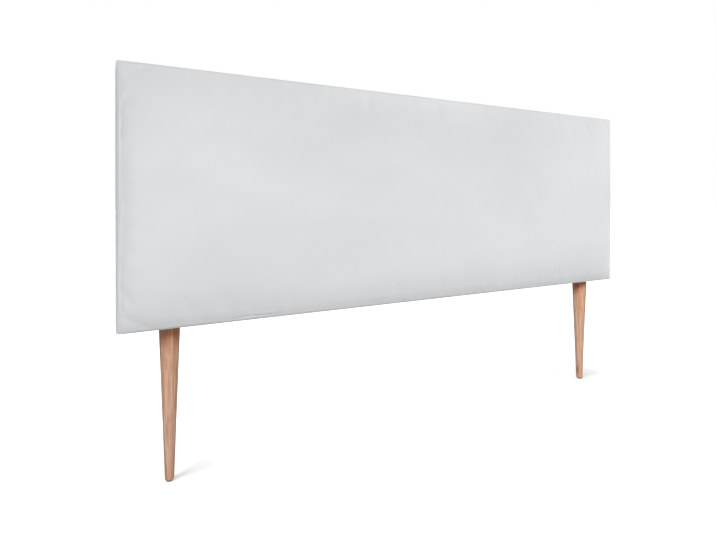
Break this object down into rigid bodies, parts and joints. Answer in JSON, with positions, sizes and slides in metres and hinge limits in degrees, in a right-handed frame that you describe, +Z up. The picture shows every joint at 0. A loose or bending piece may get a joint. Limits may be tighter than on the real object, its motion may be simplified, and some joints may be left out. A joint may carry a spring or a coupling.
{
  "type": "padded headboard",
  "caption": "Plain padded headboard panel in smooth leatherette, standing on straight tapered wooden legs, with keyhole plates behind to tie it to the wall.",
  "frame": {"origin": "on the floor, below the middle of the whole depth and width", "axes": "+X to the right seen from the front, +Y to the wall behind, +Z up; the padded face looks along -Y"},
  "size_m": [1.6, 0.082, 0.92],
  "materials": {
    "leatherette": "pale cool-grey leatherette, satin, fine grain",
    "foam": "open-cell polyurethane foam",
    "hardboard": "brown hardboard",
    "dust_cloth": "black non-woven cloth",
    "softwood": "planed pine, untreated",
    "leg_wood": "beech, clear satin varnish",
    "staple_wire": "galvanised wire",
    "zinc_steel": "bright zinc plate",
    "glide_plastic": "moulded nylon"
  },
  "bodies": {
    "root": {"upholstery_cover": "leatherette", "foam_pad": "foam", "front_board": "hardboard", "dust_cover": "dust_cloth", "top_rail": "softwood", "bottom_rail": "softwood", "left_stile": "softwood", "right_stile": "softwood", "left_inner_stile": "softwood", "right_inner_stile": "softwood", "lap_staples": "staple_wire", "board_staples": "staple_wire", "cover_staples": "staple_wire", "dust_cover_staples": "staple_wire", "hangers": "zinc_steel", "hanger_screws": "zinc_steel", "left_leg": "leg_wood", "right_leg": "leg_wood", "leg_bolts": "zinc_steel", "insert_nuts": "zinc_steel", "glides": "glide_plastic", "glide_nails": "zinc_steel"}
  },
  "joints": []
}
